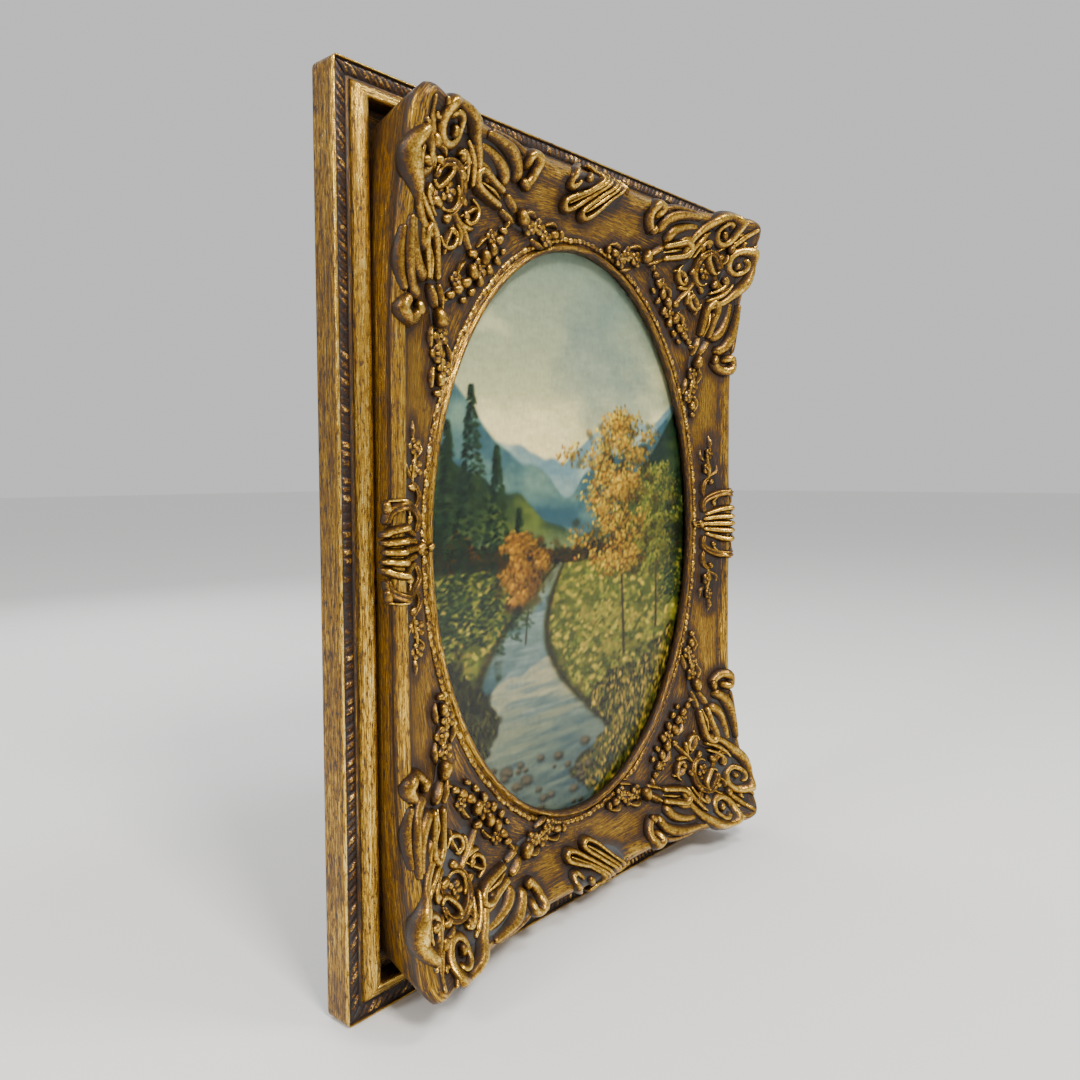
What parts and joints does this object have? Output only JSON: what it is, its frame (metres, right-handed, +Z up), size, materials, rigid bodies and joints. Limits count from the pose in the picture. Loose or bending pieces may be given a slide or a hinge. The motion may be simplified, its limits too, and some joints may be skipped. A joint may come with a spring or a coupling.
{
  "type": "framed oil painting",
  "caption": "Portrait oil landscape behind convex oval glass in a gilt double frame with projecting corner ears and applied scroll and flower ornaments, hung flat against a wall.",
  "frame": {"origin": "middle of the top rail's length, on the flat back face that rests against the wall, at mid-height of that rail", "axes": "+Z up along the longer side, +X to the right seen from the front, +Y into the wall, so the picture faces -Y"},
  "size_m": [0.354, 0.0628, 0.464],
  "materials": {
    "gilt_back": "gilded and toned, brushed streaks, worn",
    "gilt_front": "gilded, brushed streaks, dark recesses, bright worn edges",
    "gilt_ornament": "bronze-gold leaf over dark clay, dark recesses",
    "glass": "clear, polished, gently convex",
    "painted_panel": "oil paint, satin varnish, brush relief",
    "hardboard": "smooth brown hardboard, matt",
    "steel": "bright zinc-plated"
  },
  "bodies": {
    "root": {"back_rail_top": "gilt_back", "back_rail_bottom": "gilt_back", "back_rail_left": "gilt_back", "back_rail_right": "gilt_back", "front_frame": "gilt_front", "corner_ornament_top_left": "gilt_ornament", "corner_ornament_top_right": "gilt_ornament", "corner_ornament_bottom_left": "gilt_ornament", "corner_ornament_bottom_right": "gilt_ornament", "side_ornament_left": "gilt_ornament", "side_ornament_right": "gilt_ornament", "crest_ornament_top": "gilt_ornament", "crest_ornament_bottom": "gilt_ornament", "domed_glass": "glass", "painting": "painted_panel", "backing_board": "hardboard", "retaining_point_1": "steel", "retaining_point_2": "steel", "retaining_point_3": "steel", "retaining_point_4": "steel", "retaining_point_5": "steel", "retaining_point_6": "steel", "retaining_point_7": "steel", "retaining_point_8": "steel", "sawtooth_hanger": "steel", "hanger_screw_left": "steel", "hanger_screw_right": "steel"}
  },
  "joints": []
}
